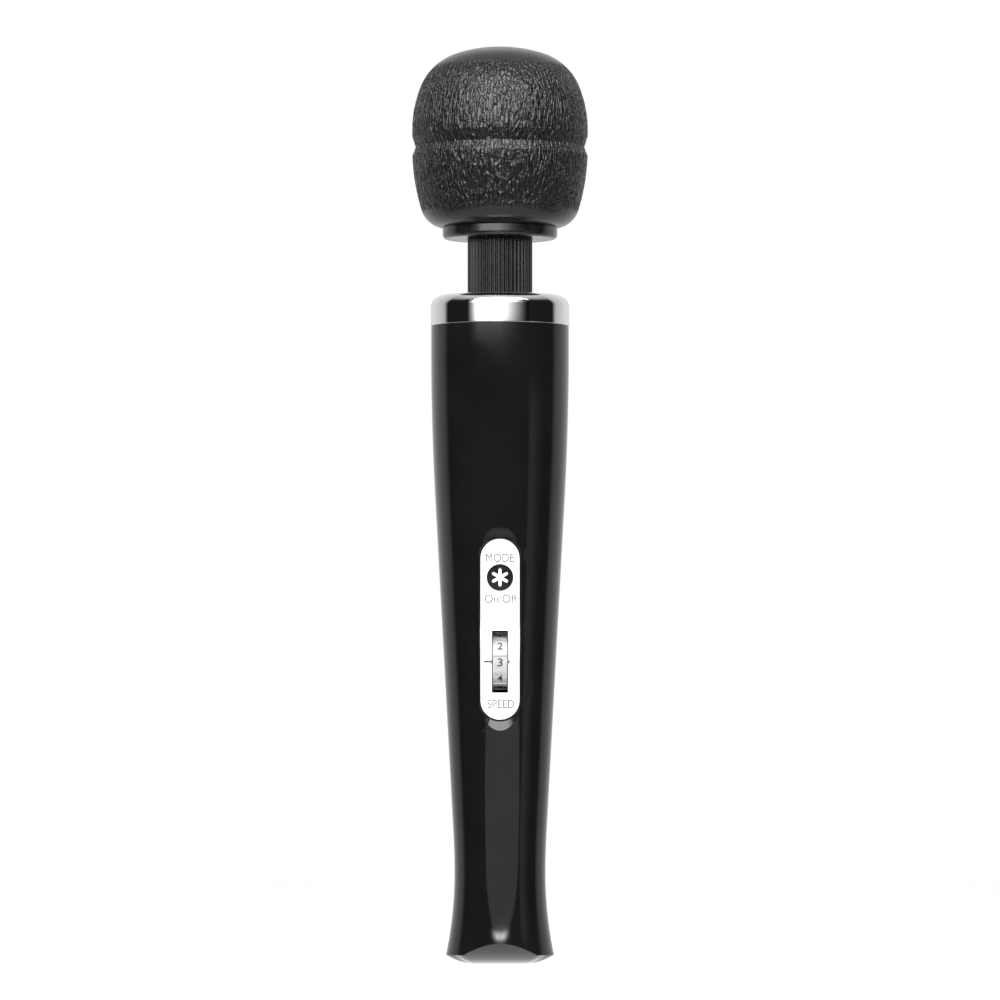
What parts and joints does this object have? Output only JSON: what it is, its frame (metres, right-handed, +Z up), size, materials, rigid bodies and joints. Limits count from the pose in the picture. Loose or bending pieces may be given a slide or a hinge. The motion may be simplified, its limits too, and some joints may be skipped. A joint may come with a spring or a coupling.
{
  "type": "handheld wand massager",
  "caption": "Cordless wand massager: round soft head on a flexible neck, tapered gloss handle with chrome ring, push button and speed wheel.",
  "frame": {"origin": "centre of the base, at the level that the base stands on", "axes": "+Z up the handle to the head; the control panel faces -Y; +X to the right of the panel"},
  "size_m": [0.0617, 0.0616, 0.321],
  "materials": {
    "body_gloss": "gloss black moulding",
    "trim_chrome": "bright chrome plating",
    "panel_silver": "satin silver lacquer",
    "print_black": "printed black",
    "button_black": "gloss black",
    "symbol_white": "printed white",
    "wheel_silver": "satin silver plating on plastic",
    "soft_cap": "grained matt silicone",
    "neck_rubber": "ribbed matt rubber",
    "collar_black": "satin black",
    "inner_plastic": "natural grey moulding",
    "steel": "turned steel",
    "copper": "enamelled winding and plated contacts",
    "magnet": "ferrite",
    "cell_wrap": "shrink-wrapped metal can",
    "board_green": "solder-masked laminate",
    "mount_rubber": "soft black rubber",
    "socket_black": "moulded black"
  },
  "bodies": {
    "handle": {"handle_front_shell": "body_gloss", "handle_rear_shell": "body_gloss", "base_cap": "body_gloss", "rear_screw_upper": "steel", "rear_screw_lower": "steel", "chrome_ring": "trim_chrome", "control_plate": "panel_silver", "index_mark": "print_black", "switch_body": "socket_black", "control_board": "board_green", "wheel_axle": "steel", "wheel_bracket": "inner_plastic", "wheel_sensor": "socket_black", "motor_can": "steel", "motor_end_bell": "socket_black", "motor_bearing": "copper", "motor_magnet_left": "magnet", "motor_magnet_right": "magnet", "motor_mount_lower": "mount_rubber", "motor_mount_upper": "mount_rubber", "battery_cell": "cell_wrap", "battery_contact_lower": "copper", "battery_contact_upper": "copper", "battery_cradle_lower": "mount_rubber", "battery_cradle_upper": "mount_rubber", "charging_socket": "socket_black", "socket_pin": "copper", "neck_clamp": "inner_plastic", "neck_sleeve_lower": "neck_rubber"},
    "motor_rotor": {"motor_armature": "steel", "motor_winding_lower": "copper", "motor_winding_upper": "copper", "motor_commutator": "copper", "motor_shaft": "steel", "drive_coupling": "mount_rubber"},
    "neck": {"neck_core": "inner_plastic"},
    "head": {"neck_sleeve_upper": "neck_rubber", "head_collar": "collar_black", "head_housing_lower": "inner_plastic", "head_housing_upper": "inner_plastic", "head_cap": "soft_cap", "head_bridge_lower": "inner_plastic", "head_bridge_upper": "inner_plastic", "head_bearing_lower": "steel", "head_bearing_upper": "steel"},
    "drive_weight": {"head_shaft": "steel", "eccentric_weight": "steel", "weight_screw": "steel"},
    "mode_button": {"mode_button": "button_black", "button_symbol": "symbol_white", "switch_plunger": "socket_black"},
    "speed_wheel": {"speed_wheel": "wheel_silver"}
  },
  "joints": [
    {"name": "neck_pitch", "type": "hinge", "parent": "handle", "child": "neck", "pos_m": [0, 0, 0.2376], "axis": [1, 0, 0], "range_deg": [-12, 12], "stiffness_Nm_per_rad": 4, "deforming": ["neck_sleeve_lower", "drive_coupling"]},
    {"name": "neck_roll", "type": "hinge", "parent": "neck", "child": "head", "pos_m": [0, 0, 0.2496], "axis": [0, 1, 0], "range_deg": [-12, 12], "stiffness_Nm_per_rad": 4, "deforming": ["neck_sleeve_upper"]},
    {"name": "motor_spin", "type": "hinge", "parent": "handle", "child": "motor_rotor", "pos_m": [0, 0, 0.1866], "axis": [0, 0, 1], "continuous": true},
    {"name": "weight_spin", "type": "hinge", "parent": "head", "child": "drive_weight", "pos_m": [0, 0, 0.2816], "axis": [0, 0, 1], "continuous": true},
    {"name": "button_press", "type": "slide", "parent": "handle", "child": "mode_button", "axis": [0, 0.9985, 0.0546], "range_m": [0, 0.0009], "stiffness_N_per_m": 300, "springref_m": -0.003},
    {"name": "wheel_turn", "type": "hinge", "parent": "handle", "child": "speed_wheel", "pos_m": [0, -0.00987, 0.1053], "axis": [1, 0, 0], "range_deg": [-180, 72]}
  ],
  "couplings": [
    {"joint": "weight_spin", "follows": "motor_spin", "ratio": 1}
  ]
}
